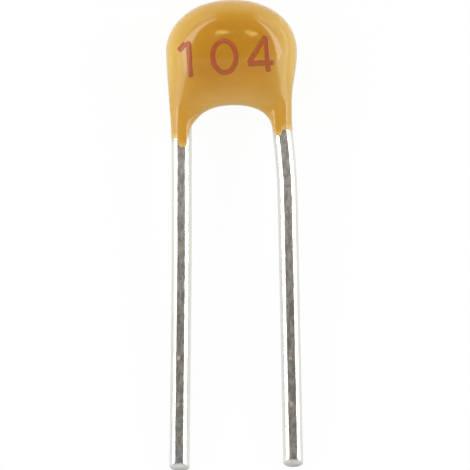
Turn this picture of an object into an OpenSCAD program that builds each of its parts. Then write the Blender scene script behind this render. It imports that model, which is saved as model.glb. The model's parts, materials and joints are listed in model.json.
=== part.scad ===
// Dipped radial ceramic capacitor: a multilayer chip with two tinned wire leads
// soldered to its ends, dipped in epoxy and lying on its back.
//
// In the capacitor's own frame X runs across the leads, Y up to the dome and Z
// out of the front. The chip's centre is at zero, and laid() sets it on its back.

/* [Leads] */
// Distance between the leads' axes at the chip
lead_pitch = 2.54; // [2.4:0.01:5.1]
// Diameter of a lead
lead_d = 0.51; // [0.4:0.01:0.56]
// From the chip's centre up to the lead's buried end
lead_top = 0.3; // [0.1:0.05:0.4]
// From the chip's centre down to where the left lead starts to bend
left_bend = 5.2; // [3:0.1:6]
// From the chip's centre down to where the right lead starts to bend
right_bend = 1.66; // [1.3:0.02:1.9]
// From the chip's centre down to the left lead's tip
left_reach = 10.7; // [7:0.05:30]
// From the chip's centre down to the right lead's tip
right_reach = 10.6; // [7:0.05:30]
// Outward angle of the left lead's long run
left_splay = 0.6; // [0.2:0.05:3]
// Outward angle of the right lead's long run
right_splay = 1.2; // [0.2:0.05:3]
// Outward angle of the right lead where it leaves the coating
right_kick = 7.5; // [4:0.5:10]
// Radius of the right lead's first bend
kick_r = 2.4; // [2:0.1:4]
// Radius of the long bend back to the splay angle
sweep_r = 17; // [10:1:25]
// Angle of the sheared tip from square
tip_cut = 22; // [5:1:30]

/* [Chip] */
// Height of the chip, along the leads
chip_h = 1.25; // [1:0.05:1.4]
// Thickness of the chip, front to back
chip_t = 0.9; // [0.75:0.05:1.2]
// Wall of the end terminations
term_t = 0.04; // [0.02:0.01:0.06]
// How far a termination wraps along the chip
term_wrap = 0.35; // [0.2:0.05:0.5]
// Number of electrode plates
electrode_count = 10; // [4:2:12]
// Thickness of an electrode plate
electrode_t = 0.016; // [0.01:0.002:0.02]
// Ceramic left at a plate's free end
end_margin = 0.2; // [0.1:0.02:0.3]
// Ceramic left at each side of a plate
side_margin = 0.12; // [0.08:0.02:0.2]
// Ceramic above the first plate and below the last
cover_margin = 0.09; // [0.05:0.01:0.15]

/* [Solder] */
// Solder between a lead and the chip's end
solder_gap = 0.04; // [0.02:0.01:0.08]
// Termination left bare in front of and behind the solder
solder_step = 0.03; // [0.01:0.01:0.06]

/* [Coating] */
// Coating outside the leads at the widest point
side_cover = 0.155; // [0.1:0.005:0.3]
// Coating over the chip's upper edge
top_cover = 0.715; // [0.6:0.01:1.2]
// Coating over the chip's front and back
face_cover = 0.6; // [0.4:0.02:0.8]
// Coating from the chip's lower edge to the top of the arch
under_cover = 0.735; // [0.6:0.01:0.9]
// Height of the arch between the leads
arch_rise = 0.69; // [0.5:0.01:0.9]
// Roundness of the arch, where 2 is an ellipse
arch_n = 2.25; // [2:0.05:2.6]
// How far the arch's top lies to the right of its foot's middle
arch_lean = 0.05; // [-0.1:0.01:0.1]
// Roundness of the dome's outline on the left, where 2 is an ellipse
left_dome_n = 2.03; // [2:0.01:2.6]
// Roundness of the dome's outline on the right, where 2 is an ellipse
right_dome_n = 2.15; // [2:0.01:2.6]
// Flatness of the front and back, where 2 is an ellipse
face_n = 3.2; // [2:0.1:4]
// Film left on a lead at the end of its strap
film = 0.015; // [0.01:0.001:0.03]
// From the chip's centre down to the left strap's end
left_strap = 2.2; // [2.1:0.01:2.6]
// From the chip's centre down to the right strap's end
right_strap = 1.97; // [1.9:0.01:2.3]
// How far the left strap's tongue runs on down the lead
left_tongue = 0.21; // [0:0.01:0.4]
// How far the right strap's tongue runs on down the lead
right_tongue = 0.15; // [0:0.01:0.4]
// How far the left strap's end is drawn back beside the arch
left_notch = 0.42; // [0:0.01:0.45]
// How far the right strap's end is drawn back beside the arch
right_notch = 0.16; // [0:0.01:0.4]
// From the chip's centre down to where the left side has drawn in
left_neck = 2.2; // [1:0.05:2.4]
// From the chip's centre down to where the right side has drawn in
right_neck = 1.3; // [1:0.05:2.4]

/* [Value mark] */
// Height of a digit
digit_h = 0.94; // [0.7:0.02:1]
// Width of a digit
digit_w = 0.7; // [0.4:0.02:0.74]
// Distance from one digit to the next
digit_pitch = 0.92; // [0.75:0.01:0.95]
// Width of the printed stroke
stroke_w = 0.14; // [0.08:0.002:0.16]
// Thickness of the ink
ink_t = 0.012; // [0.006:0.002:0.02]
// Sideways place of the middle digit
mark_x = -0.18; // [-0.25:0.01:0.1]
// Height of the middle digit's centre above the chip's centre
mark_y = -0.15; // [-0.2:0.01:0.2]
// Angle at which the row of digits climbs to the right
mark_climb = 4; // [-6:0.5:6]

/* [Hidden] */
$fn = 64;

// Leads
lead_r = lead_d / 2;
axis_x = lead_pitch / 2;
left_kick = 0;
lap = 0.02;                 // wire that a straight run shares with a bend
draw = 0.001;               // how much thinner a bend draws

// Chip
chip_len = lead_pitch - lead_d - 2 * solder_gap;
block_len = chip_len - 2 * term_t;
block_h = chip_h - 2 * term_t;
block_t = chip_t - 2 * term_t;
electrode_w = block_h - 2 * side_margin;
electrode_step = (block_t - 2 * cover_margin - electrode_t) / (electrode_count - 1);

// Coating
half_w = axis_x + lead_r + side_cover;
half_t = chip_t / 2 + face_cover;
dome_h = chip_h / 2 + top_cover;
arch_top = -(chip_h / 2 + under_cover);
arch_foot = arch_top - arch_rise;
skin_r = lead_r + film;
neck_t = 0.75 * skin_r;     // half thickness of the meniscus where it runs out on a lead
arch_round = 0.75;          // reach of the rounded edge above the arch, in arch radii
ridge_n = 8;                // sharpness with which a lead's round shows through
tongue_half = 0.28;         // half width of a tongue, as a share of its strap's width
tongue_edge = 0.14;         // width of a tongue's slanted sides, as a share likewise
stroke_gap = 0.01;          // bare coating left between two strokes of a digit
slant = 1.7;                // room that a sloping stroke's corner needs, in half strokes
cols = 14;                  // columns of points from a side to the middle
dome_rows = 12;             // rows of points from the widest line up to the top
body_rows = 12;             // rows from the widest line down to the arch
strap_rows = 10;            // rows from the arch down to a strap's end

function ease(t) = let (c = min(max(t, 0), 1)) c * c * (3 - 2 * c);
function mix(a, b, t) = a + (b - a) * t;

// ---- Leads: each is followed down from its start, bending outwards

function bend_x(a, b, r) = r * abs(cos(a) - cos(b));
function bend_y(a, b, r) = r * abs(sin(a) - sin(b));
function bend_of(side) = side < 0 ? left_bend : right_bend;
function kick_of(side) = side < 0 ? left_kick : right_kick;
function splay_of(side) = side < 0 ? left_splay : right_splay;
function reach_of(side) = side < 0 ? left_reach : right_reach;

// The ends of a lead's bends, as distances outwards and down from the chip's centre
function kick_end(side) = let (k = kick_of(side))
    [axis_x + bend_x(0, k, kick_r), bend_of(side) + bend_y(0, k, kick_r)];
function sweep_end(side) = let (k = kick_of(side), s = splay_of(side), p = kick_end(side))
    [p[0] + bend_x(k, s, sweep_r), p[1] + bend_y(k, s, sweep_r)];
function tip_x(side) = let (p = sweep_end(side))
    p[0] + (reach_of(side) - p[1]) * tan(splay_of(side));

// Distance of a lead's axis from the middle, at the depth d below the chip's centre
function axis_at(side, d) =
    let (k = kick_of(side), s = splay_of(side), p = kick_end(side), q = sweep_end(side),
         turn = k < s ? 1 : -1)
    d <= bend_of(side) ? axis_x
    : d <= p[1] ? axis_x + kick_r * (1 - cos(asin((d - bend_of(side)) / kick_r)))
    : d <= q[1] ? p[0] + sweep_r * turn * (cos(k) - cos(asin(sin(k) + turn * (d - p[1]) / sweep_r)))
    : q[0] + (d - q[1]) * tan(s);

// ---- Coating: its surface is a height above the plane of the leads

function dome_n_of(side) = side < 0 ? left_dome_n : right_dome_n;
function neck_of(side) = side < 0 ? left_neck : right_neck;
function strap_of(side) = side < 0 ? left_strap : right_strap;
function tongue_of(side) = side < 0 ? left_tongue : right_tongue;
function notch_of(side) = side < 0 ? left_notch : right_notch;
// Shares of the way across a strap from its outer side
function tongue_at(side) = side < 0 ? 0.55 : 0.76;
function notch_from(side) = side < 0 ? 0.74 : 0.84;

// Outer edge, from the widest line down
function side_x(side, y) =
    mix(half_w, axis_at(side, -y) + skin_r, ease(-y / neck_of(side)));

// Arch: its foot meets the inside of both leads
function foot_x(side) = axis_at(side, -arch_foot) - skin_r;
arch_a = (foot_x(1) + foot_x(-1)) / 2;
function arch_u(y) = (y - arch_foot) / arch_rise;
function arch_x(y) = (foot_x(1) - foot_x(-1)) / 2 + arch_lean * min(max(arch_u(y), 0), 1);
function arch_half(y) = y >= arch_top ? 0
    : y <= arch_foot ? arch_a
    : arch_a * pow(1 - pow(arch_u(y), arch_n), 1 / arch_n);
function inner_x(side, y) = max(
    side * arch_x(y) + arch_half(y),
    y < arch_foot ? axis_at(side, -y) - skin_r : 0);

// Thickness factors: across the body, and round the arch's edge
function from_middle(x, y) = let (n = dome_n_of(x)) y > 0
    ? pow(pow(abs(x) / half_w, n) + pow(min(y / dome_h, 1), n), 1 / n)
    : abs(x) / side_x(sign(x), y);
function across(x, y) = sqrt(max(0, 1 - pow(from_middle(x, y), face_n)));
function from_arch(x, y) =
    pow(pow(abs(x - arch_x(y)) / arch_a, arch_n) + pow(max(arch_u(y), 0), arch_n), 1 / arch_n);
function arch_edge(x, y) =
    let (s = min(max((from_arch(x, y) - 1) / arch_round, 0), 1)) sqrt(1 - (1 - s) * (1 - s));

// Half thickness that the dipped drop would have by itself
function drop_t(x, y) =
    let (run = mix(left_strap, right_strap, ease((x / half_w + 1) / 2)))
    mix(half_t, neck_t, ease(-y / run));

// Round of a strap between its two edges
function strap_round(x, y) =
    let (s = sign(x), o = side_x(s, y), i = inner_x(s, y),
         t = (abs(x) - (o + i) / 2) / max((o - i) / 2, 0.001))
    sqrt(max(0, 1 - t * t));
function drop_z(x, y) =
    let (w = ease((arch_top - y) / arch_rise * 1.4))
    drop_t(x, y) * mix(across(x, y) * arch_edge(x, y), w > 0 ? strap_round(x, y) : 0, w);

// The film over a lead, which shows through the drop as a soft ridge
function film_z(x, y) =
    let (off = abs(x) - axis_at(sign(x), -y))
    y > lead_top ? 0 : sqrt(max(0, skin_r * skin_r - off * off));
function surface_z(x, y) =
    pow(pow(drop_z(x, y), ridge_n) + pow(film_z(x, y), ridge_n), 1 / ridge_n);

// ---- The coating's grid of points

// Share of the way from a side (0) to the middle or the arch (1)
function share(c, y) =
    mix(1 - cos(90 * c / cols), (1 - cos(180 * c / cols)) / 2, ease(y / arch_top));

// Ragged end of a strap: a tongue down the lead, and a bare place beside the arch
function strap_end(side, f) =
    let (tongue = ease((tongue_half - abs(f - tongue_at(side))) / tongue_edge),
         notch = ease((f - notch_from(side)) / (1 - notch_from(side))))
    -(strap_of(side) + tongue_of(side) * tongue - notch_of(side) * notch);

function sheet_point(c, y) =
    let (side = c <= cols ? -1 : 1, f = share(c <= cols ? c : 2 * cols - c, y), n = dome_n_of(side),
         o = y > 0 ? half_w * pow(1 - pow(y / dome_h, n), 1 / n) : side_x(side, y),
         middle = side * arch_x(arch_top) * ease(y / arch_top),
         x = side * mix(o, middle, f),
         edge = c == 0 || c == 2 * cols || (c == cols && y <= arch_top))
    [x, y, edge ? 0 : surface_z(x, y)];
function strap_point(side, c, r) =
    let (f = share(c, arch_top), y = mix(arch_top, strap_end(side, f), 1 - cos(90 * r / strap_rows)),
         x = side * mix(side_x(side, y), inner_x(side, y), f))
    [x, y, c == 0 || c == cols ? 0 : surface_z(x, y)];

sheet_y = concat(
    [for (r = [dome_rows - 1 : -1 : 1]) dome_h * sin(90 * r / dome_rows)],
    [for (r = [0 : body_rows]) arch_top * sin(90 * r / body_rows)]);
sheet = [for (y = sheet_y) [for (c = [0 : 2 * cols]) sheet_point(c, y)]];
straps = [for (side = [-1, 1])
    [for (r = [1 : strap_rows]) [for (c = [0 : cols]) strap_point(side, c, r)]]];

// ---- Resting place on its back: on the drop's lowest line and the longer lead's tip

tip_y = -max(left_reach, right_reach);
rest_tan = max([for (y = sheet_y) (surface_z(0, y) - lead_r) / (y - tip_y)]);
rest_tilt = atan(rest_tan);
rest_z = -tip_y * sin(rest_tilt) + lead_r * cos(rest_tilt);
low_x = -max(half_w, tip_x(-1) + lead_r);
high_x = max(half_w, tip_x(1) + lead_r);
low_y = tip_y * cos(rest_tilt) + lead_r * sin(rest_tilt);
high_y = max([for (y = concat([dome_h], sheet_y))
    y * cos(rest_tilt) + (y == dome_h ? 0 : surface_z(0, y)) * sin(rest_tilt)]);

module laid() {
    translate([-(low_x + high_x) / 2, -(low_y + high_y) / 2, rest_z])
        rotate([rest_tilt, 0, 0])
            children();
}

// ---- Leads

// Straight wire runs a little into the bends, which draw a little thinner
module straight_run(length) {
    translate([0, lap, 0]) rotate([90, 0, 0]) cylinder(h = length + 2 * lap, r = lead_r);
}

// A bend that starts downwards and turns outwards, or inwards where angle is negative
module bend(angle, r) {
    turn = angle > 0 ? 1 : -1;
    translate([turn * r, 0, 0])
        rotate_extrude(angle = abs(angle), start = turn > 0 ? 180 : -abs(angle))
            translate([r, 0]) circle(r = lead_r - draw);
}

module lead_form(side) {
    kick = kick_of(side);
    splay = splay_of(side);
    after_kick = kick_end(side);
    after_sweep = sweep_end(side);
    run = (reach_of(side) - after_sweep[1]) / cos(splay) + lead_d;
    mirror([side < 0 ? 1 : 0, 0, 0]) difference() {
        union() {
            translate([axis_x, lead_top - lap, 0]) straight_run(lead_top + bend_of(side) - lap);
            if (kick > 0)
                translate([axis_x, -bend_of(side), 0]) bend(kick, kick_r);
            translate([after_kick[0], -after_kick[1], 0]) rotate([0, 0, kick]) {
                straight_run(0);
                bend(splay - kick, sweep_r);
            }
            translate([after_sweep[0], -after_sweep[1], 0])
                rotate([0, 0, splay]) straight_run(run);
        }
        translate([tip_x(side), -reach_of(side), -lead_r])
            rotate([-tip_cut, 0, 0])
                translate([-lead_d, -2 * lead_d, -lead_d]) cube([2 * lead_d, 2 * lead_d, 3 * lead_d]);
    }
}

module left_lead() { color("#c9cbc8") laid() lead_form(-1); }
module right_lead() { color("#c9cbc8") laid() lead_form(1); }

// ---- Chip

module block_form() {
    cube([block_len, block_h, block_t], center = true);
}

// Odd plates run out to the left termination and even ones to the right
module electrode_form(i) {
    side = i % 2 == 1 ? -1 : 1;
    z = -block_t / 2 + cover_margin + (i - 1) * electrode_step;
    length = block_len - end_margin;
    translate([side * end_margin / 2 - length / 2, -electrode_w / 2, z])
        cube([length, electrode_w, electrode_t]);
}

// The outer size of a termination, with the chip's end inside it
module termination_form(side) {
    x = chip_len / 2 - term_wrap / 2;
    translate([side * x, 0, 0]) cube([term_wrap, chip_h, chip_t], center = true);
}

module ceramic_block() {
    color("#b9a58c") laid() difference() {
        block_form();
        for (i = [1 : electrode_count]) electrode_form(i);
    }
}

module electrode(i) { color("#8f9290") laid() electrode_form(i); }

module termination(side) {
    color("#d6d4cc") laid() difference() {
        termination_form(side);
        block_form();
    }
}

module left_termination() { termination(-1); }
module right_termination() { termination(1); }

// ---- Solder: a fillet from the chip's end round the inner half of a lead

module solder_form(side) {
    reach = axis_x - chip_len / 2;
    rise = chip_t / 2 - solder_step;
    mirror([side < 0 ? 1 : 0, 0, 0])
        translate([chip_len / 2, lead_top, 0]) rotate([90, 0, 0])
            linear_extrude(height = lead_top + chip_h / 2) difference() {
                translate([0, -rise]) square([reach, 2 * rise]);
                for (z = [-rise, rise]) translate([reach, z]) circle(r = rise - lead_r);
                translate([reach, 0]) circle(r = lead_r);
            }
}

module left_solder() { color("#bdbdb6") laid() solder_form(-1); }
module right_solder() { color("#bdbdb6") laid() solder_form(1); }

// ---- Coating

// One face of the drop as a list of points: the top, the sheet, then both straps
face_points = concat([[0, dome_h, 0]],
    [for (row = sheet) each row],
    [for (strap = straps) each [for (row = strap) each row]]);
wide = 2 * cols + 1;
sheet_n = len(sheet_y);
strap_n = strap_rows * (cols + 1);
back = len(face_points);

function sheet_i(r, c) = 1 + r * wide + c;
// Strap columns count from the outer side, and row 0 is the sheet's last row
function strap_i(s, r, c) = r == 0
    ? sheet_i(sheet_n - 1, s == 0 ? c : 2 * cols - c)
    : 1 + sheet_n * wide + s * strap_n + (r - 1) * (cols + 1) + c;

front_faces = concat(
    [for (c = [0 : 2 * cols - 1]) [0, sheet_i(0, c + 1), sheet_i(0, c)]],
    [for (r = [0 : sheet_n - 2], c = [0 : 2 * cols - 1])
        each [[sheet_i(r, c), sheet_i(r, c + 1), sheet_i(r + 1, c + 1)],
              [sheet_i(r, c), sheet_i(r + 1, c + 1), sheet_i(r + 1, c)]]],
    [for (s = [0, 1], r = [0 : strap_rows - 1], c = [0 : cols - 1])
        let (p = strap_i(s, r, c), q = strap_i(s, r, c + 1),
             u = strap_i(s, r + 1, c), v = strap_i(s, r + 1, c + 1))
        each s == 0 ? [[p, q, v], [p, v, u]] : [[q, p, v], [v, p, u]]]);

// Points on the rim are shared by both faces
all_points = concat(face_points, [for (p = face_points) [p[0], p[1], -p[2]]]);
function behind(i) = all_points[i][2] == 0 ? i : back + i;
back_faces = [for (f = front_faces) [behind(f[2]), behind(f[1]), behind(f[0])]];

// Each strap's end closes across from front to back
end_faces = [for (s = [0, 1], c = [0 : cols - 1])
    let (p = strap_i(s, strap_rows, c), q = strap_i(s, strap_rows, c + 1),
         ring = c == 0 ? [[p, q, behind(q)]]
              : c == cols - 1 ? [[p, q, behind(p)]]
              : [[p, q, behind(q)], [p, behind(q), behind(p)]])
    each s == 0 ? [for (f = ring) [f[0], f[1], f[2]]] : [for (f = ring) [f[0], f[2], f[1]]]];

module drop_form() {
    polyhedron(points = all_points, faces = concat(front_faces, back_faces, end_faces));
}

module coating() {
    color("#c68f35") laid() difference() {
        drop_form();
        block_form();
        for (side = [-1, 1]) {
            termination_form(side);
            solder_form(side);
            lead_form(side);
        }
    }
}

// ---- Value mark: the digits 104 in strokes of ink that follow the front

function steps(a, b, n) = [for (i = [0 : n]) mix(a, b, i / n)];

// Strokes of each digit in a box of one by one, set just clear of each other
clear_u = (stroke_w / 2 + stroke_gap) / digit_w;
clear_v = (stroke_w / 2 + stroke_gap) / digit_h;
one_x = 0.05;
four_x = 0.24;
four_y = -0.24;
one = [
    steps([-0.34, 0.24], [one_x - slant * clear_u, 0.43], 3),
    steps([one_x, 0.5], [one_x, -0.5], 10)];
zero_rise = 0.5 - stroke_w / 2 / digit_h;
zero = [[for (a = [0 : 15 : 345]) [0.42 * sin(a), zero_rise * cos(a)]]];
four = [
    steps([four_x - slant * clear_u, 0.47], [-0.46, four_y + slant * clear_v], 7),
    steps([-0.5, four_y], [0.5, four_y], 8),
    steps([four_x, 0.5], [four_x, four_y + clear_v], 7),
    steps([four_x, four_y - clear_v], [four_x, -0.5], 2)];

// Place of a point of the digit i, counted from the middle one
function mark_point(i, p) =
    let (x = i * digit_pitch + p[0] * digit_w, y = p[1] * digit_h)
    [mark_x + x * cos(mark_climb) - y * sin(mark_climb),
     mark_y + x * sin(mark_climb) + y * cos(mark_climb)];

// A ribbon of ink along a stroke, three points wide
module stroke(i, line, closed) {
    n = len(line);
    mid = [for (p = line) mark_point(i, p)];
    before = [for (k = [0 : n - 1]) mid[closed ? (k + n - 1) % n : max(k - 1, 0)]];
    after = [for (k = [0 : n - 1]) mid[closed ? (k + 1) % n : min(k + 1, n - 1)]];
    foot = [for (k = [0 : n - 1], s = [-1, 0, 1])
        let (t = (after[k] - before[k]) / norm(after[k] - before[k]),
             x = mid[k][0] - s * t[1] * stroke_w / 2,
             y = mid[k][1] + s * t[0] * stroke_w / 2)
        [x, y, surface_z(x, y)]];
    top = [for (p = foot) p + [0, 0, ink_t]];
    last = closed ? n - 1 : n - 2;
    sides = [for (k = [0 : last])
        let (a = 3 * k, b = 3 * ((k + 1) % n), t = 3 * n)
        each [[a, a + 1, b + 1, b], [a + 1, a + 2, b + 2, b + 1],
              [t + a, t + b, t + b + 1, t + a + 1], [t + a + 1, t + b + 1, t + b + 2, t + a + 2],
              [a, b, t + b, t + a], [b + 2, a + 2, t + a + 2, t + b + 2]]];
    a = 3 * (n - 1);
    t = 3 * n;
    ends = closed ? [] : [[0, t, t + 1, 1], [1, t + 1, t + 2, 2],
                          [a + 1, t + a + 1, t + a, a], [a + 2, t + a + 2, t + a + 1, a + 1]];
    polyhedron(points = concat(foot, top), faces = concat(sides, ends));
}

module value_mark() {
    color("#a4532c") laid() {
        for (line = one) stroke(-1, line, false);
        for (line = zero) stroke(0, line, true);
        for (line = four) stroke(1, line, false);
    }
}

// ---- Nodes

function electrode_name(i) = str("electrode_", i);

coating();
value_mark();
left_lead();
right_lead();
left_solder();
right_solder();
left_termination();
right_termination();
ceramic_block();
for (i = [1 : electrode_count])
    electrode(i);
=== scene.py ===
import json
import math

import bmesh
import bpy
from mathutils import Matrix, Vector, noise
from mathutils.bvhtree import BVHTree


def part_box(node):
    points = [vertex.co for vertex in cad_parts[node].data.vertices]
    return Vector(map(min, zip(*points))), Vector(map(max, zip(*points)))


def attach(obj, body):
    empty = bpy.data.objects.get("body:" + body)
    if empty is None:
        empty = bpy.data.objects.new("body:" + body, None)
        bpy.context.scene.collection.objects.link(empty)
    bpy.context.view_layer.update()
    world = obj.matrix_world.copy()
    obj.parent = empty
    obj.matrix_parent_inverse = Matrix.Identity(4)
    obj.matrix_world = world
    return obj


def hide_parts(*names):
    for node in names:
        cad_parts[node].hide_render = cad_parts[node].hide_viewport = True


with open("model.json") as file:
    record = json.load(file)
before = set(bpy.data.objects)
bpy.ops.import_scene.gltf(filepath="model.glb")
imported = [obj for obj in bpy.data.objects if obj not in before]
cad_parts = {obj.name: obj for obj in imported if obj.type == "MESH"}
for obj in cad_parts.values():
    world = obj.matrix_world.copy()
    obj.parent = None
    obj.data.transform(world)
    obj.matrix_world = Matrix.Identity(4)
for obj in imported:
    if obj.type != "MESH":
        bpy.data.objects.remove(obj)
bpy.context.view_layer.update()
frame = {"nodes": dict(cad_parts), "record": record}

# ---- Sizes in the capacitor's own frame, in millimetres: X across the leads, Y up to the
# dome, Z out of the printed front, with the chip's centre at zero. They repeat the part's source.

LEFT, RIGHT = -1, 1
MM = 0.001

# Leads. What lies up or down is measured from the chip's centre.
LEAD_PITCH = 2.54                               # between the leads' axes at the chip
LEAD_TOP = 0.3                                  # up to a lead's buried end
BEND_FROM = {LEFT: 5.2, RIGHT: 1.66}            # down to where a lead starts to bend
KICK = {LEFT: 0.0, RIGHT: math.radians(7.5)}    # outward angle where it leaves the coating
SPLAY = {LEFT: math.radians(0.6), RIGHT: math.radians(1.2)}     # outward angle of its long run
REACH = {LEFT: 10.7, RIGHT: 10.6}               # down to its tip
KICK_R = 2.4                                    # radius of the first bend
SWEEP_R = 17.0                                  # radius of the long bend to the splay angle
TIP_CUT = math.radians(22)                      # angle of the sheared tip from square

# Coating
DOME_H = 1.34                           # up to the top of the dome
HALF_T = 1.05                           # half the body's thickness
SIDE_COVER = 0.155                      # coating outside the leads at the widest point
DOME_N = {LEFT: 2.03, RIGHT: 2.15}      # roundness of the dome's outline, where 2 is an ellipse
FACE_N = 3.2                            # flatness of the front and back
ARCH_TOP = -1.36                        # height of the arch's top
ARCH_RISE = 0.69                        # from the arch's foot up to its top
ARCH_N = 2.25                           # roundness of the arch
ARCH_LEAN = 0.05                        # how far its top lies to the right of its foot's middle
ARCH_ROUND = 0.75                       # reach of the rounded edge above it, in arch radii
FILM = 0.015                            # film left on a lead at the end of its strap
RIDGE_N = 8                             # sharpness with which a lead's round shows through
INNER_N = {LEFT: 2.0, RIGHT: 3.2}       # how square that round is on its inner side
NECK = {LEFT: 2.2, RIGHT: 1.3}          # down to where a side has drawn in
STRAP = {LEFT: 2.2, RIGHT: 1.97}        # down to a strap's end
STRAP_BLEND = 1.4                       # how soon the body becomes straps, over the arch's rise
TONGUE = {LEFT: 0.21, RIGHT: 0.15}      # how far a strap's tongue runs on down the lead
TONGUE_AT = {LEFT: 0.55, RIGHT: 0.76}   # its middle, as a share of the strap from the outer side
TONGUE_HALF = 0.28                      # its half width, as such a share
TONGUE_EDGE = 0.14                      # width of its slanted sides
NOTCH = {LEFT: 0.42, RIGHT: 0.16}       # how far a strap's end is drawn back beside the arch
NOTCH_FROM = {LEFT: 0.74, RIGHT: 0.84}  # where that starts, as such a share

# Printed value
DIGIT_H = 0.94
DIGIT_W = 0.7
DIGIT_PITCH = 0.92
STROKE_W = 0.14
INK_T = 0.012
MARK_AT = Vector((-0.18, -0.15))        # centre of the middle digit
MARK_CLIMB = math.radians(4)            # angle at which the row of digits climbs to the right

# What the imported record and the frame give: the leads' radius, the lie on its back and the
# place of the chip's centre
mounts = {mount["name"]: mount for mount in frame["record"]["mounts"]}
right_axis = Vector(mounts["right_lead_end"]["axis"])
LEAD_R = mounts["right_lead_end"]["dims"]["r_mm"]
REST_TILT = math.atan2(-right_axis.z, -right_axis.y)
chip_low, chip_high = (Vector(corner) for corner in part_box("ceramic_block"))
LAID = (Matrix.Translation((chip_low + chip_high) / 2)
        @ Matrix.Rotation(REST_TILT, 4, "X") @ Matrix.Scale(MM, 4))

AXIS_X = LEAD_PITCH / 2
SKIN_R = LEAD_R + FILM
HALF_W = AXIS_X + LEAD_R + SIDE_COVER
ARCH_FOOT = ARCH_TOP - ARCH_RISE
NECK_T = 0.75 * SKIN_R                  # half thickness of the drop where it runs out on a lead


def clamp(t):
    return min(max(t, 0.0), 1.0)


def ease(t):
    c = clamp(t)
    return c * c * (3 - 2 * c)


def mix(a, b, t):
    return a + (b - a) * t


# ---- Where a lead's axis runs, followed down from the chip's centre

def kick_end(side):
    """Where a lead's first bend ends: how far from the middle, and how far down."""
    kick = KICK[side]
    return (AXIS_X + KICK_R * (1 - math.cos(kick)), BEND_FROM[side] + KICK_R * math.sin(kick))


def sweep_end(side):
    """The same for its long bend."""
    kick, splay, (x, depth) = KICK[side], SPLAY[side], kick_end(side)
    return (x + SWEEP_R * abs(math.cos(kick) - math.cos(splay)),
            depth + SWEEP_R * abs(math.sin(kick) - math.sin(splay)))


def axis_at(side, depth):
    """How far a lead's axis lies from the middle at a depth."""
    kick, (kick_x, kick_depth), (sweep_x, sweep_depth) = KICK[side], kick_end(side), sweep_end(side)
    if depth <= BEND_FROM[side]:
        return AXIS_X
    if depth <= kick_depth:
        return AXIS_X + KICK_R * (1 - math.cos(math.asin((depth - BEND_FROM[side]) / KICK_R)))
    if depth <= sweep_depth:
        turn = 1 if kick < SPLAY[side] else -1
        heading = math.asin(math.sin(kick) + turn * (depth - kick_depth) / SWEEP_R)
        return kick_x + SWEEP_R * turn * (math.cos(kick) - math.cos(heading))
    return sweep_x + (depth - sweep_depth) * math.tan(SPLAY[side])


# ---- The dipped coating's surface, as a height above the plane of the leads

def side_of(x):
    return LEFT if x < 0 else RIGHT


def side_x(side, y):
    """How far out the coating reaches below its widest line, as it draws in to the lead."""
    return mix(HALF_W, axis_at(side, -y) + SKIN_R, ease(-y / NECK[side]))


# The arch, from the inner sides of both leads at its foot: half its width, and its middle
FOOT_X = {side: axis_at(side, -ARCH_FOOT) - SKIN_R for side in (LEFT, RIGHT)}
ARCH_A = (FOOT_X[LEFT] + FOOT_X[RIGHT]) / 2
ARCH_MIDDLE = (FOOT_X[RIGHT] - FOOT_X[LEFT]) / 2


def arch_u(y):
    """How far up the arch a height lies, 0 at its foot and 1 at its top."""
    return (y - ARCH_FOOT) / ARCH_RISE


def arch_x(y):
    """The arch's middle at a height."""
    return ARCH_MIDDLE + ARCH_LEAN * clamp(arch_u(y))


def arch_half(y):
    """Half the arch's width at a height."""
    if y >= ARCH_TOP:
        return 0.0
    if y <= ARCH_FOOT:
        return ARCH_A
    return ARCH_A * (1 - arch_u(y) ** ARCH_N) ** (1 / ARCH_N)


def inner_x(side, y):
    """How far out a strap's inner side lies: on the arch, and below its foot on the lead."""
    lead_side = axis_at(side, -y) - SKIN_R if y < ARCH_FOOT else -HALF_W
    return max(side * arch_x(y) + arch_half(y), lead_side)


def from_middle(x, y):
    """How far out a place lies, where the coating's outline is at 1."""
    side = side_of(x)
    n = DOME_N[side]
    if y > 0:
        return ((abs(x) / HALF_W) ** n + min(y / DOME_H, 1) ** n) ** (1 / n)
    return abs(x) / side_x(side, y)


def across(x, y):
    """Share of its thickness that the body has at a place, none at its outline."""
    return math.sqrt(max(0.0, 1 - from_middle(x, y) ** FACE_N))


def arch_edge(x, y):
    """Share of that which the rounded edge above the arch leaves."""
    reach = ((abs(x - arch_x(y)) / ARCH_A) ** ARCH_N + max(arch_u(y), 0) ** ARCH_N) ** (1 / ARCH_N)
    s = clamp((reach - 1) / ARCH_ROUND)
    return math.sqrt(1 - (1 - s) ** 2)


def drop_t(x, y):
    """Half thickness of the drop at its middle, less and less towards the straps' ends."""
    run = mix(STRAP[LEFT], STRAP[RIGHT], ease((x / HALF_W + 1) / 2))
    return mix(HALF_T, NECK_T, ease(-y / run))


def strap_round(x, y):
    """A strap's round over its lead, 1 along its middle and 0 at its sides."""
    side = side_of(x)
    outer, inner = side_x(side, y), inner_x(side, y)
    t = (abs(x) - (outer + inner) / 2) / max((outer - inner) / 2, 0.001)
    return math.sqrt(max(0.0, 1 - t * t))


def drop_z(x, y):
    """Height of the drop: one body above the arch, which turns into two straps beside it."""
    w = ease(STRAP_BLEND * (ARCH_TOP - y) / ARCH_RISE)
    body = across(x, y) * arch_edge(x, y) if w < 1 else 0.0
    return drop_t(x, y) * mix(body, strap_round(x, y) if w > 0 else 0.0, w)


def film_z(x, y):
    """Height of the film that clings round a lead."""
    if y > LEAD_TOP:
        return 0.0
    side = side_of(x)
    off = (abs(x) - axis_at(side, -y)) / SKIN_R
    n = INNER_N[side] if off < 0 else 2.0
    return SKIN_R * max(0.0, 1 - abs(off) ** n) ** (1 / n)


def surface_z(x, y):
    """Height of the coating: whichever stands higher, softly blended."""
    return (drop_z(x, y) ** RIDGE_N + film_z(x, y) ** RIDGE_N) ** (1 / RIDGE_N)


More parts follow.
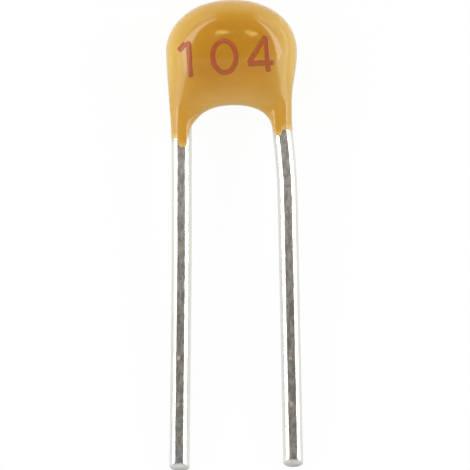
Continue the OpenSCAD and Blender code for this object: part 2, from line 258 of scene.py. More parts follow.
def strap_end(side, f):
    """Height at which a strap's ragged end lies, a share f of the way in from its outer side."""
    tongue = ease((TONGUE_HALF - abs(f - TONGUE_AT[side])) / TONGUE_EDGE)
    notch = ease((f - NOTCH_FROM[side]) / (1 - NOTCH_FROM[side]))
    return -(STRAP[side] + TONGUE[side] * tongue - NOTCH[side] * notch)


def below_strap(x, y):
    """How far a place on a lead lies below the end of the coating's strap there."""
    side = side_of(x)
    outer, inner = side_x(side, y), inner_x(side, y)
    return strap_end(side, clamp((outer - abs(x)) / max(outer - inner, 0.01))) - y


# ---- Mesh helpers

SHARP = math.radians(50)            # edges sharper than this show as edges
STRAP_SHARP = math.radians(60)      # the same on the coating


def of_kind(geometry, kind):
    """The points or the edges among what an operator has made."""
    return [item for item in geometry if isinstance(item, kind)]


def patch(bm, segments, rows, place):
    """Adds a grid whose point (u, v) goes to place(u, v), both 0 to 1; gives each point's u and v."""
    grid = bmesh.ops.create_grid(bm, x_segments=segments, y_segments=rows, size=1)["verts"]
    spots = [(vert, (vert.co.x + 1) / 2, (vert.co.y + 1) / 2) for vert in grid]
    for vert, u, v in spots:
        vert.co = place(u, v)
    return spots


def face_outwards(bm):
    """Turns the faces of a closed form outwards."""
    bmesh.ops.recalc_face_normals(bm, faces=bm.faces)
    if bm.calc_volume(signed=True) < 0:
        bmesh.ops.reverse_faces(bm, faces=bm.faces)


def make_piece(name, bm, node, material, sharp=SHARP):
    """Turns a bmesh in the capacitor's own frame into the piece that stands for a CAD node."""
    bmesh.ops.transform(bm, matrix=LAID, verts=bm.verts)
    mesh = bpy.data.meshes.new(name)
    bm.to_mesh(mesh)
    bm.free()
    mesh.polygons.foreach_set("use_smooth", [True] * len(mesh.polygons))
    mesh.set_sharp_from_angle(angle=sharp)
    mesh.materials.append(material)
    piece = bpy.data.objects.new(name, mesh)
    bpy.context.collection.objects.link(piece)
    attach(piece, "root")
    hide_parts(node)


# ---- Coating

COLS = 44            # columns from a side to the middle
DOME_ROWS = 44       # rows from the widest line up to the top
BODY_ROWS = 40       # rows from the widest line down to the arch
STRAP_ROWS = 44      # rows from the arch down to a strap's end
MERGE = 1e-5         # points closer than this are one


def share(t, y):
    """Share of the way from a side (0) to the middle or the arch (1), closest near the rims."""
    quarter, half = 1 - math.cos(math.pi / 2 * t), (1 - math.cos(math.pi * t)) / 2
    return mix(quarter, half, ease(y / ARCH_TOP))


def body_point(face):
    """Places a patch on the body's front, where face is 1, or its back, where it is -1."""
    split = DOME_ROWS / (DOME_ROWS + BODY_ROWS)

    def place(u, v):
        side = LEFT if u <= 0.5 else RIGHT
        t = 1 - abs(2 * u - 1)
        if v < split:
            y = DOME_H * math.sin(math.pi / 2 * (1 - v / split))
        else:
            y = ARCH_TOP * math.sin(math.pi / 2 * (v - split) / (1 - split))
        n = DOME_N[side]
        outer = HALF_W * max(0.0, 1 - (y / DOME_H) ** n) ** (1 / n) if y > 0 else side_x(side, y)
        middle = side * arch_x(ARCH_TOP) * ease(y / ARCH_TOP)
        x = side * mix(outer, middle, share(t, y))
        rim = t < MERGE or v < MERGE or (t > 1 - MERGE and y <= ARCH_TOP + MERGE)
        return Vector((x, y, 0 if rim else face * surface_z(x, y)))
    return place


def strap_point(side, face):
    """Places a patch on a strap's front or back in the same way."""
    def place(u, v):
        f = share(u, ARCH_TOP)
        y = mix(ARCH_TOP, strap_end(side, f), 1 - math.cos(math.pi / 2 * v))
        x = side * mix(side_x(side, y), inner_x(side, y), f)
        rim = u < MERGE or u > 1 - MERGE
        return Vector((x, y, 0 if rim else face * surface_z(x, y)))
    return place


# Soft unevenness of the dipped skin: height of each swell, how many of them a millimetre holds,
# and where its noise starts
SWELLS = ((0.010, 0.9, Vector((3.1, 7.7, 1.3))), (0.004, 2.4, Vector((9.2, 0.4, 5.5))))
SWELL_IN = 0.006     # keeps the swells inside the coating's own outline
SWELL_RUN = 0.5      # height above the arch over which they start
END_RUN = 0.2        # length over which a strap's end pales

# A strap's rolled end, step by step: radius round the wire's axis, and how far down it goes
END_ROLL = ((SKIN_R - 0.004, 0.008), (LEAD_R - 0.002, 0.011), (0.7 * LEAD_R, 0.0))
PLUG_UP = 0.5        # how far above the strap's end the plug inside the wire comes to a point


def swell(point):
    """How far the dipped skin stands out at a point, along its normal."""
    return sum(height * noise.noise(point * pace + start) for height, pace, start in SWELLS)


def close_on_lead(bm, rim, side):
    """Rolls a strap's open end over the film's edge onto the lead, then closes it inside the wire."""
    for radius, drop in END_ROLL:
        made = bmesh.ops.extrude_edge_only(bm, edges=rim)["geom"]
        rim = of_kind(made, bmesh.types.BMEdge)
        for vert in of_kind(made, bmesh.types.BMVert):
            axis = side * axis_at(side, -vert.co.y)
            out = Vector((vert.co.x - axis, 0, vert.co.z))
            pull = min(1.0, radius / max(out.length, MERGE))
            vert.co = Vector((axis + out.x * pull, vert.co.y - drop, out.z * pull))
    made = bmesh.ops.extrude_edge_only(bm, edges=rim)["geom"]
    point = Vector((side * AXIS_X, PLUG_UP - STRAP[side], 0))
    bmesh.ops.pointmerge(bm, verts=of_kind(made, bmesh.types.BMVert), merge_co=point)


def coating_form():
    """The dipped skin as one closed form, with the tones that its colour follows."""
    bm = bmesh.new()
    for face in (1, -1):
        patch(bm, 2 * COLS, DOME_ROWS + BODY_ROWS, body_point(face))
        for side in (LEFT, RIGHT):
            patch(bm, COLS, STRAP_ROWS, strap_point(side, face))
    bmesh.ops.remove_doubles(bm, verts=bm.verts, dist=MERGE)
    bmesh.ops.recalc_face_normals(bm, faces=bm.faces)
    bm.normal_update()
    # rim: how far the skin turns away to the sides, or down over the arch, where the finish paints it
    # paler: partly the thin edge's own paler amber, partly painted sheen and, under the arch, a
    # painted reflection of the floor; flank light: the same, to the sides and up, where the finish
    # paints the light of the side windows; thin: how little coating there is; end: how near a strap's
    # end it is
    rim_sheen_tone, flank_tone, thin_tone, end_tone = (bm.verts.layers.float.new(name)
                                                 for name in ("rim", "flank", "thin", "end"))
    for vert in bm.verts:
        x, y, z = vert.co
        # The lip is skin facing down over the arch, which gets a painted reflection of the floor
        lip = max(-vert.normal.y, 0) ** 8
        vert[rim_sheen_tone] = (1 - abs(vert.normal.z)) * (1 - vert.normal.y ** 2) + 0.5 * lip
        vert[flank_tone] = math.hypot(vert.normal.x, 0.7 * max(vert.normal.y, 0))
        vert[thin_tone] = clamp(1 - abs(z) / HALF_T)
        vert[end_tone] = clamp(1 + below_strap(x, y) / END_RUN)
        vert.co += vert.normal * (swell(vert.co) - SWELL_IN) * clamp((y - ARCH_TOP) / SWELL_RUN)
    for side in (LEFT, RIGHT):
        rim = [e for e in bm.edges if e.is_boundary and side_of(e.verts[0].co.x) == side]
        close_on_lead(bm, rim, side)
    face_outwards(bm)
    return bm


# ---- Leads

LEAD_SIDES = 48
RING_GAP = 0.03      # distance between rings along a lead
PLAIN_END = 0.3      # no ring lies nearer to the tip than this
FLATTEN = {LEFT: 0.055, RIGHT: 0.0}    # how far the wire is pressed out of round, as a share
SMOOTH_TO = 0.2      # the wire is plain down to this depth, well inside the coating
RESIN_RUN = 0.16     # length below a strap over which a trace of resin fades

# Unevenness of the drawn wire: height of each wave, how many of them a millimetre holds, and
# where its noise starts
WAVES = ((0.0012, 1.9, Vector((5, 0, 0))), (0.0007, 5, Vector((0, 8, 0))))

NICKS = (7.8, 8.97)  # how far down the forming tool has scuffed each wire
NICK_X = {LEFT: -0.05, RIGHT: -0.02}   # how far right of the wire's axis the scuffs lie
NICK_HALF = (0.05, 0.08)               # a scuff's half width across the wire and half length
NICK_DEPTH = 0.003

BURR_R = 0.03        # how far the edge of the sheared face is rounded
BURR_SEGMENTS = 4
CUT_RUN = 0.02       # depth over which the shear's matt tone fades


def nick(side, x, z, depth):
    """How much of a scuff there is at a place on a wire, x and z from its axis, 0 to 1."""
    if z < 0:
        return 0.0
    aside = ((x - side * NICK_X[side]) / NICK_HALF[0]) ** 2
    return sum(math.exp(-aside - ((depth - down) / NICK_HALF[1]) ** 2) for down in NICKS)


def wear(side, out, depth):
    """How far the wire's surface stands out at a depth, on the side that out points to."""
    round_it = Vector((out.x, depth, out.z))
    wave = sum(height * noise.noise(round_it * pace + side * start)
               for height, pace, start in WAVES)
    pressed = FLATTEN[side] * 2 * out.x * out.z / out.length
    return wave + pressed - NICK_DEPTH * nick(side, out.x, out.z, depth)


def run_on(bm, ring, length, heading, gap=RING_GAP):
    """Draws a ring on in a straight line, with a ring at each gap; gives the last ring."""
    count = max(1, round(length / gap))
    step = Vector((math.sin(heading), -math.cos(heading), 0)) * length / count
    for _ in range(count):
        made = bmesh.ops.extrude_edge_only(bm, edges=ring)["geom"]
        bmesh.ops.translate(bm, vec=step, verts=of_kind(made, bmesh.types.BMVert))
        ring = of_kind(made, bmesh.types.BMEdge)
    return ring


def turn_on(bm, ring, centre, angle, radius):
    """Draws a ring on round a bend, with a ring at each gap; gives the last ring."""
    count = max(2, round(abs(angle) * radius / RING_GAP))
    made = bmesh.ops.spin(bm, geom=ring, cent=centre, axis=(0, 0, 1), angle=angle, steps=count,
                          use_merge=False, use_duplicate=False)["geom_last"]
    return of_kind(made, bmesh.types.BMEdge)


def draw_wire(bm, side):
    """Draws a wire down its path, from its buried end to past its tip."""
    start = Matrix.Translation((AXIS_X, LEAD_TOP, 0)) @ Matrix.Rotation(math.pi / 2, 4, "X")
    bmesh.ops.create_circle(bm, cap_ends=True, segments=LEAD_SIDES, radius=LEAD_R, matrix=start)
    kick, splay = KICK[side], SPLAY[side]
    ring = run_on(bm, list(bm.edges), LEAD_TOP + BEND_FROM[side], 0)
    if kick:
        ring = turn_on(bm, ring, (AXIS_X + KICK_R, -BEND_FROM[side], 0), kick, KICK_R)
    kick_x, kick_depth = kick_end(side)
    turn = 1 if splay > kick else -1
    away = Vector((math.cos(kick), math.sin(kick), 0)) * turn * SWEEP_R
    ring = turn_on(bm, ring, Vector((kick_x, -kick_depth, 0)) + away, splay - kick, SWEEP_R)
    sweep_depth = sweep_end(side)[1]
    ring = run_on(bm, ring, (REACH[side] - sweep_depth) / math.cos(splay) - PLAIN_END, splay)
    run_on(bm, ring, 2 * PLAIN_END, splay, gap=2 * PLAIN_END)


def shear_tip(bm, side):
    """Shears a wire's tip off at a slant and rounds the edge of the sheared face; gives a place on
    that face and the way that it faces."""
    place = Vector((axis_at(side, REACH[side]), -REACH[side], -LEAD_R))
    facing = Vector((0, -math.cos(TIP_CUT), math.sin(TIP_CUT)))
    bmesh.ops.bisect_plane(bm, geom=[*bm.verts, *bm.edges, *bm.faces], dist=1e-6,
                           plane_co=place, plane_no=facing, clear_outer=True)
    rim = [edge for edge in bm.edges if edge.is_boundary and edge.verts[0].co.y < -REACH[side] / 2]
    face = bmesh.ops.holes_fill(bm, edges=rim, sides=0)["faces"][0]
    bmesh.ops.bevel(bm, geom=list(face.edges), offset=BURR_R, affect="EDGES",
                    segments=BURR_SEGMENTS, profile=0.5, material=-1)
    return place, facing


def lead_form(side):
    """A drawn and sheared wire, with the tones of the sheared face and its painted shade, resin,
    scuffs and front on it.
    """
    bm = bmesh.new()
    draw_wire(bm, side)
    for vert in bm.verts:
        out = Vector((vert.co.x - axis_at(side, max(0.0, -vert.co.y)), 0, vert.co.z))
        if out.length > 0.5 * LEAD_R and vert.co.y < -SMOOTH_TO:
            vert.co += out.normalized() * wear(side, out, -vert.co.y)
    place, facing = shear_tip(bm, side)
    resin, cut, scuff, front = (bm.verts.layers.float.new(name)
                                for name in ("resin", "cut", "scuff", "front"))
    for vert in bm.verts:
        x, y, z = vert.co
        in_cut = 1 + (vert.co - place).dot(facing) / CUT_RUN
        # The sheared face is matt grey and painted darker towards its back, by the floor, as painted
        # shade of the wire's contact shadow
        vert[cut] = clamp(in_cut) * clamp(0.6 - 0.5 * z / LEAD_R)
        vert[resin] = clamp(1 - below_strap(side * x, y) / RESIN_RUN)
        vert[scuff] = clamp(nick(side, x - axis_at(side, max(0.0, -y)), z, -y))
        vert[front] = clamp(abs(z) / LEAD_R)
    if side == LEFT:
        bmesh.ops.scale(bm, vec=(-1, 1, 1), verts=bm.verts)
    face_outwards(bm)
    return bm


# ---- Printed value: strokes of ink that follow the coating's front

ALONG = 40           # faces along a stroke
ACROSS = 8           # faces across it
INK_SINK = 0.003     # how far the ink's edge lies in the coating's skin
INK_SPREAD = 1.12    # how much wider than its stroke the wet ink has run
WANDER = 0.24        # how far its edges wander, as a share of the stroke's half width
WANDER_PACE = 7      # how many such wanders a millimetre holds
WANDER_STEP = 3.7    # how far apart the strokes' noise starts
STROKE_END_N = 2.4   # roundness of a stroke's ends, where 2 is a circle
ABOVE = 5            # a height clear of the coating


def polyline(*points):
    """A stroke along a broken line: its place and heading at a share of its length, that length,
    and whether the stroke is closed."""
    corners = [Vector(point) for point in points]
    lengths = [(b - a).length for a, b in zip(corners, corners[1:])]
    total = sum(lengths)

    def at(t):
        left = t * total
        for a, b, length in zip(corners, corners[1:], lengths):
            if left <= length + 1e-9:
                return a.lerp(b, left / length), (b - a).normalized()
            left -= length
        return corners[-1], (corners[-1] - corners[-2]).normalized()
    return at, total, False


def oval(radius_x, radius_y):
    """A closed stroke round an upright oval."""
    def at(t):
        a = 2 * math.pi * t
        return (Vector((radius_x * math.sin(a), radius_y * math.cos(a))),
                Vector((radius_x * math.cos(a), -radius_y * math.sin(a))).normalized())
    return at, math.pi * (radius_x + radius_y), True


def digit_strokes():
    """Every stroke of the digits 104, with its digit's place in the row."""
    w, h = DIGIT_W, DIGIT_H
    one_x, four_x, four_y = 0.05 * w, 0.24 * w, -0.24 * h
    half = STROKE_W / 2
    return [
        (-1, polyline((-0.34 * w, 0.24 * h), (one_x - half, 0.45 * h))),
        (-1, polyline((one_x, 0.5 * h), (one_x, -0.5 * h))),
        (0, oval(0.42 * w, h / 2 - half)),
        (1, polyline((four_x, 0.5 * h), (-0.46 * w, four_y))),
        (1, polyline((-0.5 * w, four_y), (0.5 * w, four_y))),
        (1, polyline((four_x, 0.5 * h), (four_x, -0.5 * h))),
    ]


def from_end(stroke, u):
    """How far a share u of a stroke's length lies from its nearer end, in half widths up to 1."""
    length, closed = stroke[1:]
    return 1.0 if closed else clamp(min(u, 1 - u) * length / (STROKE_W / 2))


def stroke_place(skin, column, stroke, seed, face):
    """Places one side of a stroke: its front stands out of the coating and its back lies in it."""
    turn = Matrix.Rotation(MARK_CLIMB, 2)

    def place(u, v):
        middle, heading = stroke[0](u)
        aside, end = 2 * v - 1, from_end(stroke, u)
        wander = noise.noise(Vector((*(middle * WANDER_PACE), seed + (0.5 if v > 0.5 else 4.5))))
        half = STROKE_W / 2 * (INK_SPREAD + WANDER * wander * abs(aside))
        half *= math.sqrt(max(0.0, 1 - (1 - end) ** STROKE_END_N))
        edge = Vector((-heading.y, heading.x)) * aside * half
        spot = MARK_AT + turn @ (middle + edge + Vector((column * DIGIT_PITCH, 0)))
        hit = skin.ray_cast(Vector((*spot, ABOVE)), Vector((0, 0, -1)))[0]
        # The back lies deepest under the stroke, so the ribbon stays open between its edges
        body = INK_T * (1 - abs(aside) ** 3) * clamp(end * 2)
        hit.z += body - INK_SINK if face > 0 else -INK_SINK * (3 if body > 0 else 1)
        return hit
    return place


def ink_form(skin):
    """Every stroke as a closed ribbon on the coating, with a tone that fades towards its edges."""
    bm = bmesh.new()
    cover = bm.verts.layers.float.new("cover")
    for index, (column, stroke) in enumerate(digit_strokes()):
        for face in (1, -1):
            place = stroke_place(skin, column, stroke, index * WANDER_STEP, face)
            for vert, u, v in patch(bm, ALONG, ACROSS, place):
                vert[cover] = clamp(min(1 - abs(2 * v - 1), from_end(stroke, u)))
    bmesh.ops.remove_doubles(bm, verts=bm.verts, dist=1e-6)
    face_outwards(bm)
    return bm


# ---- Shader expressions

class Signal:
    """A socket in a node tree that takes part in Python sums."""

    def __init__(self, tree, socket=None):
        self.tree, self.socket = tree, socket

    def node(self, kind, settings=None, sockets=None, out=0):
        """Adds a node, sets its settings, then its sockets to values or links; gives one output."""
        made = self.tree.nodes.new(kind)
        for name, value in (settings or {}).items():
            setattr(made, name, value)
        for name, value in (sockets or {}).items():
            if isinstance(value, Signal):
                self.tree.links.new(value.socket, made.inputs[name])
            else:
                made.inputs[name].default_value = value
        return Signal(self.tree, made.outputs[out])

    def maths(self, operation, *values):
        return self.node("ShaderNodeMath", {"operation": operation}, dict(enumerate(values)))

    def __add__(self, other):
        return self.maths("ADD", self, other)

    def __sub__(self, other):
        return self.maths("SUBTRACT", self, other)

    def __rsub__(self, other):
        return self.maths("SUBTRACT", other, self)

    def __mul__(self, other):
        return self.maths("MULTIPLY", self, other)

    def __truediv__(self, other):
        return self.maths("DIVIDE", self, other)

    def __pow__(self, other):
        return self.maths("POWER", self, other)

    __radd__ = __add__
    __rmul__ = __mul__

    def step(self, low, high):
        """0 where this is at low, 1 at high, with a soft run between."""
        return self.node("ShaderNodeMapRange", {"interpolation_type": "SMOOTHSTEP"},
                         {"Value": self, "From Min": low, "From Max": high})

    def blend(self, a, b):
        """Colour a where this is 0 and b where it is 1."""
        return self.node("ShaderNodeMix", {"data_type": "RGBA"}, {0: self, 6: a, 7: b}, out=2)

    def grain(self, coords, size, detail=2.0, stretch=(1, 1, 1), roughness=0.5):
        """Noise with features of about size metres, stretched along each axis."""
        scaled = self.node("ShaderNodeMapping", {"vector_type": "POINT"},
                           {"Vector": coords, "Scale": [1 / (size * s) for s in stretch]})
        return self.node("ShaderNodeTexNoise", {"noise_dimensions": "3D"},
                         {"Vector": scaled, "Scale": 1.0, "Detail": detail, "Roughness": roughness})

    def tone(self, name):
        """A tone kept in the mesh's points, 0 to 1."""
        return self.node("ShaderNodeAttribute", {"attribute_name": name}, out="Fac")

    def bump(self, height, distance):
        return self.node("ShaderNodeBump", {}, {"Height": height, "Distance": distance})


# ---- Finishes

WHITE = (1, 1, 1, 1)


def paint(hex_colour):
    """The linear colour of a hex code."""
    channels = [int(hex_colour[i:i + 2], 16) / 255 for i in (0, 2, 4)]
    return (*(c / 12.92 if c <= 0.04045 else ((c + 0.055) / 1.055) ** 2.4 for c in channels), 1.0)


def finish_of(name, build, **constants):
    """A material: constants go on the shader's own sockets, and build() gives what varies."""
    material = bpy.data.materials.new(name)
    material.use_nodes = True
    tree = material.node_tree
    shader = tree.nodes["Principled BSDF"]
    for socket, value in constants.items():
        shader.inputs[socket.replace("_", " ")].default_value = value
    signal = Signal(tree)
    coords = signal.node("ShaderNodeTexCoord", out="Object")
    for socket, value in build(signal, coords).items():
        tree.links.new(value.socket, shader.inputs[socket])
    return material


def epoxy(s, coords):
    """Amber where the coating is thick, paler yellow at its rims, partly for the thin edge and partly
    as painted sheen, painted light on the flanks, and tan where it ends on the leads.
    """
    cloud = s.grain(coords, 0.9e-3, 3).step(0.3, 0.7)
    fleck = s.grain(coords, 0.16e-3, 2).step(0.55, 0.75)
    rim, flank, thin, end = (s.tone(name) for name in ("rim", "flank", "thin", "end"))
    thick = cloud.blend(paint("b0770a"), paint("b77e0f"))
    thinner = cloud.blend(paint("b98110"), paint("c08816"))
    colour = thin.step(0.12, 0.4).blend(thick, thinner)
    # Painted light: flanks that face the side windows and up are painted a paler yellow
    colour = flank.step(0.1, 0.7).blend(colour, paint("c2942b"))
    colour = thin.step(0.4, 0.85).blend(colour, paint("c69230"))
    colour = (0.2 * fleck).blend(colour, paint("c89428"))
    # Painted sheen at the rims and a painted reflection of the floor under the arch, mixed with the
    # thin edge's own paler amber
    pale = thin.step(0.5, 0.9).blend(paint("cca647"), paint("bf9b46"))
    colour = rim.step(0.03, 0.6).blend(colour, pale)
    colour = (end.step(0.2, 1.0) * 0.8).blend(colour, paint("d2b272"))
    orange_peel = s.grain(coords, 0.22e-3, 1)
    return {
        "Base Color": colour,
        "Roughness": 0.07 + 0.06 * s.grain(coords, 0.35e-3, 2),
        "Normal": s.bump(orange_peel, 0.003e-3),
    }


def ink(s, coords):
    """Thin red-brown ink that lets the amber through where it is patchy and at its edges."""
    patchy = s.grain(coords, 0.12e-3, 3)
    cover = s.tone("cover").step(0.0, 0.25) * (0.65 + 0.35 * patchy.step(0.35, 0.55))
    red = patchy.step(0.35, 0.65).blend(paint("98421f"), paint("a8522a"))
    return {
        "Base Color": cover.blend(paint("ae740e"), red),
        "Roughness": 0.1 + 0.16 * patchy,
        "Normal": s.bump(s.grain(coords, 0.05e-3, 2), 0.003e-3),
    }


def tinned_wire(s, coords):
    """Drawn tin plate: fine lines along the wire, dull patches and the forming tool's scuffs."""
    lines = s.grain(coords, 0.03e-3, 3, stretch=(1, 25, 1))
    dull = s.grain(coords, 0.14e-3, 5, stretch=(0.6, 1.7, 0.6), roughness=0.7)
    tone = s.grain(coords, 0.3e-3, 3)
    cut, resin, scuff, front = (s.tone(name) for name in ("cut", "resin", "scuff", "front"))
    # The tin is brighter towards the coating and darker towards the tips
    toward_coating = s.node("ShaderNodeSeparateXYZ", {}, {0: coords}, out="Y").step(-2.5e-3, 2e-3)
    clean = toward_coating.blend(paint("d6d3cf"), paint("faf6f2"))
    worn = toward_coating.blend(paint("a4a29c"), paint("c9c4bf"))
    face = dull.step(0.38, 0.62).blend(clean, worn)
    face = (0.4 * tone.step(0.5, 0.7)).blend(face, paint("c6b4ae"))
    wire = front.step(0.5, 0.95).blend(paint("e4e6e0"), face)
    scuff = scuff.step(0.0, 1.0) * (0.5 + 0.5 * dull.step(0.4, 0.6))
    wire = scuff.blend(wire, paint("d0c2b6"))
    wire = (resin * 0.7).blend(wire, paint("cdbf90"))
    # The sheared face shows matt grey, with painted shade towards its back
    return {
        "Base Color": cut.blend(wire, paint("9c9da0")),
        "Roughness": 0.06 + 0.16 * tone.step(0.42, 0.66) + 0.3 * cut + 0.45 * scuff,
        "Normal": s.bump(lines + 0.5 * dull, 0.001e-3),
    }


def plain_metal(light, dark, size):
    """Dull metal, uneven over about size metres between a light and a dark colour."""
    def build(s, coords):
        dull = s.grain(coords, size, 3)
        return {
            "Base Color": dull.step(0.3, 0.7).blend(paint(dark), paint(light)),
            "Roughness": 0.3 + 0.25 * dull,
            "Normal": s.bump(dull, size / 30),
        }
    return build


def fired_ceramic(s, coords):
    """Matt fired dielectric with a fine grit."""
    grit = s.grain(coords, 0.03e-3, 3)
    return {
        "Base Color": grit.step(0.3, 0.7).blend(paint("a8957b"), paint("b9a58c")),
        "Roughness": 0.55 + 0.2 * grit,
        "Normal": s.bump(grit, 0.002e-3),
    }


EPOXY = finish_of("amber_epoxy", epoxy, IOR=1.55, Subsurface_Weight=0.1,
                  Subsurface_Radius=(1.0, 0.7, 0.3), Subsurface_Scale=0.2e-3)
INK = finish_of("red_brown_ink", ink, IOR=1.45)
WIRE = finish_of("bright_tin_plate", tinned_wire, Metallic=1.0)
SOLDER = finish_of("soft_solder", plain_metal("c4c4bd", "a9a9a2", 0.08e-3), Metallic=1.0)
SILVER = finish_of("fired_silver", plain_metal("d6d4cc", "c0bdb4", 0.05e-3), Metallic=1.0)
NICKEL = finish_of("fired_nickel", plain_metal("9a9c98", "858783", 0.04e-3), Metallic=1.0)
CERAMIC = finish_of("fired_dielectric", fired_ceramic)

# ---- Pieces: four are made anew, and the rest keep their CAD mesh and get a finish

coating_bm = coating_form()
skin = BVHTree.FromBMesh(coating_bm)
ink_bm = ink_form(skin)
make_piece("epoxy_coating", coating_bm, "coating", EPOXY, STRAP_SHARP)
make_piece("printed_value", ink_bm, "value_mark", INK)
make_piece("left_wire", lead_form(LEFT), "left_lead", WIRE)
make_piece("right_wire", lead_form(RIGHT), "right_lead", WIRE)

INNER_FINISHES = {"solder": SOLDER, "termination": SILVER, "electrode": NICKEL, "ceramic": CERAMIC}
for name, node in frame["nodes"].items():
    for word, finish in INNER_FINISHES.items():
        if word in name:
            node.data.materials.clear()
            node.data.materials.append(finish)

# ---- Floor, light and camera

FLOOR_SIZE = 1.2
SHADOW_REACH = 0.016     # distance from the capacitor at which the floor is plain white
CARD_GLOW = 1.4          # how much brighter than white its far sides are in reflections
PAPER_GREY = 0.92


def floor_finish():
    """White paper that shows its white to the camera and to reflections, and keeps a soft shadow."""
    material = bpy.data.materials.new("white_floor")
    material.use_nodes = True
    tree = material.node_tree
    tree.nodes.clear()
    s = Signal(tree)
    coords = s.node("ShaderNodeTexCoord", out="Object")
    away = s.node("ShaderNodeVectorMath", {"operation": "LENGTH"}, {0: coords}, out="Value")
    camera = s.node("ShaderNodeLightPath", out="Is Camera Ray")
    glossy = s.node("ShaderNodeLightPath", out="Is Glossy Ray")
    through = s.node("ShaderNodeLightPath", out="Is Transmission Ray")
    paper = s.node("ShaderNodeBsdfDiffuse", {}, {"Color": (PAPER_GREY, PAPER_GREY, PAPER_GREY, 1)})
    far = away.step(0.4 * SHADOW_REACH, SHADOW_REACH)
    beside = s.node("ShaderNodeSeparateXYZ", {}, {0: coords}) / away
    glow = 1.0 + CARD_GLOW * glossy * far * beside.step(0.5, 0.9)
    white = s.node("ShaderNodeEmission", {}, {"Color": glow, "Strength": 1.0})
    # Near the capacitor a share of what is seen is lit paper, and the shadow lies in that share
    shown = camera * (0.95 + 0.05 * far) + glossy * (0.6 + 0.4 * far) + through
    factor = s.maths("MINIMUM", shown, 1.0)
    mixed = s.node("ShaderNodeMixShader", {}, {0: factor, 1: paper, 2: white})
    output = tree.nodes.new("ShaderNodeOutputMaterial")
    tree.links.new(mixed.socket, output.inputs["Surface"])
    return material


def add_floor():
    """A white floor to either side of the capacitor."""
    bm = bmesh.new()
    bmesh.ops.create_grid(bm, x_segments=1, y_segments=1, size=FLOOR_SIZE / 2)
    mesh = bpy.data.meshes.new("floor")
    bm.to_mesh(mesh)
    bm.free()
    mesh.materials.append(floor_finish())
    floor = bpy.data.objects.new("floor", mesh)
    bpy.context.collection.objects.link(floor)


# The light, as a tent over the capacitor. A direction in it is given by how far right and how far
# ahead of the zenith it leads, for each unit that it rises.
OVERHEAD = 0.38          # light from the tent's top
FRONT_GLOW = 0.24        # what is added towards the wires' tips
BAR_GLOW = 0.3           # a pale bar across that side
HORIZON = 0.75           # light at the tent's foot
HORIZON_GLOW = 0.2       # what is added there towards the wires' tips
WINDOW_HIGH = 4.4        # light of a window's bright part
WINDOW_LOW = 1.32        # light of the rest of it
PANE_GLOW = 0.55         # what a second, fainter pane adds to the rest
# Each window: its side, its share of the light, its upper edge, and how far it reaches down and up
WINDOWS = ((LEFT, 0.86, 0.96, -0.95, 3.7), (RIGHT, 1.0, 1.28, -0.85, 2.4))
# Each small warm lamp beyond the dome: how far right and how far ahead it is
LAMPS = ((-0.1, 0.18), (0.25, 0.22))
LAMP_HALF = (0.11, 0.075)
LAMP_MIDDLE = 0.09       # how far right the place is that both lamps droop towards
LAMP_DROOP = 0.35
LAMP_LIGHT = 5.2
WARM_GREY = (1, 0.97, 0.92, 1)      # tint of the dimmest cloth
LAMP_YELLOW = (1, 0.93, 0.3, 1)


def cloth_light(ahead, level, up):
    """Light of the cloth: dim overhead, paler towards the wires' tips and at the horizon."""
    light = OVERHEAD + FRONT_GLOW * (ahead.step(-0.35, -0.6) + 0.6 * ahead.step(-0.7, -2.5))
    light = light + BAR_GLOW * ahead.step(-0.42, -0.52) * ahead.step(-0.7, -0.56)
    horizon = HORIZON + HORIZON_GLOW * level.step(0.2, -0.6)
    return light + (horizon - light) * up.step(0.5, 0.0)


def window_light(out, ahead, edge, near, far):
    """Where a window is seen, 0 to 1, and how bright it is there; out leads away on its side."""
    along = ahead / out.maths("MAXIMUM", out, 0.001)
    # Its upper edge slants, and every edge is soft
    mask = (out + 0.5 * ahead).step(edge - 0.05, edge + 0.1) * out.step(0.1, 0.2)
    mask = mask * along.step(near - 0.15, near + 0.15) * along.step(far + 0.5, far - 0.5)
    # It is bright near its upper edge and dim further down, with a second pane across that
    distance = out + 1.3 * ahead.maths("ABSOLUTE", ahead) + 0.5 * ahead
    pane = distance.step(4.8, 6.2) * distance.step(13.0, 9.0) * along.step(0.5, 0.8)
    low = WINDOW_LOW * (1.0 + 0.9 * along.step(0.4, -0.2)) + PANE_GLOW * pane
    return mask, low + (WINDOW_HIGH - low) * distance.step(3.6, 2.4)


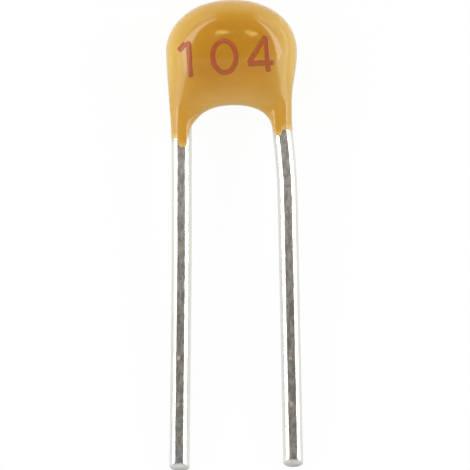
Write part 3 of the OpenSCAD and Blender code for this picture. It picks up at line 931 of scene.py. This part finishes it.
def add_world():
    """A tent of soft light: dim overhead, a long window at either side and two small warm lamps."""
    world = bpy.data.worlds.new("tent")
    bpy.context.scene.world = world
    world.use_nodes = True
    tree = world.node_tree
    tree.nodes.clear()
    s = Signal(tree)
    direction = s.node("ShaderNodeTexCoord", out="Generated")
    x, y, up = (s.node("ShaderNodeSeparateXYZ", {}, {0: direction}, out=axis) for axis in "XYZ")
    rise = s.maths("MAXIMUM", up, 0.02)
    right, ahead = x / rise, y / rise
    light = cloth_light(ahead, y, up)
    for side, part, edge, near, far in WINDOWS:
        mask, strength = window_light(side * right, ahead, edge, near, far)
        light = light + mask * (part * strength - light)
    warm = 0.0
    for lamp_right, lamp_ahead in LAMPS:
        droop = LAMP_DROOP * s.maths("ABSOLUTE", right - LAMP_MIDDLE)
        aside, above = right - lamp_right, ahead - lamp_ahead - droop
        off = (aside / LAMP_HALF[0]) ** 2 + (above / LAMP_HALF[1]) ** 2
        warm = warm + off.step(1.5, 0.35)
    camera = s.node("ShaderNodeLightPath", out="Is Camera Ray")
    grey = light.step(0.6, 0.3).blend(WHITE, WARM_GREY)
    tint = camera.blend(warm.blend(grey, LAMP_YELLOW), WHITE)
    strength = light + LAMP_LIGHT * warm
    strength = strength + camera * (1.0 - strength)
    background = s.node("ShaderNodeBackground", {}, {"Color": tint, "Strength": strength})
    output = tree.nodes.new("ShaderNodeOutputWorld")
    tree.links.new(background.socket, output.inputs["Surface"])


# The camera, in millimetres in the capacitor's own frame, square to the printed front
VIEW_CENTRE = Vector((0.089, -4.667, 0))
VIEW_WIDTH = 11.985      # what the picture's width shows at the chip's height
CAMERA_DISTANCE = 150.0


def add_camera():
    """A camera that looks down on the printed front from afar."""
    camera = bpy.data.cameras.new("camera")
    camera.sensor_width = 36
    camera.lens = camera.sensor_width * CAMERA_DISTANCE / VIEW_WIDTH
    camera.clip_start, camera.clip_end = 0.01, 2.0
    holder = bpy.data.objects.new("camera", camera)
    bpy.context.collection.objects.link(holder)
    holder.location = LAID @ (VIEW_CENTRE + Vector((0, 0, CAMERA_DISTANCE)))
    holder.rotation_euler = (REST_TILT, 0, 0)
    bpy.context.scene.camera = holder


add_camera()
add_floor()
add_world()
bpy.context.scene.view_settings.view_transform = "Standard"
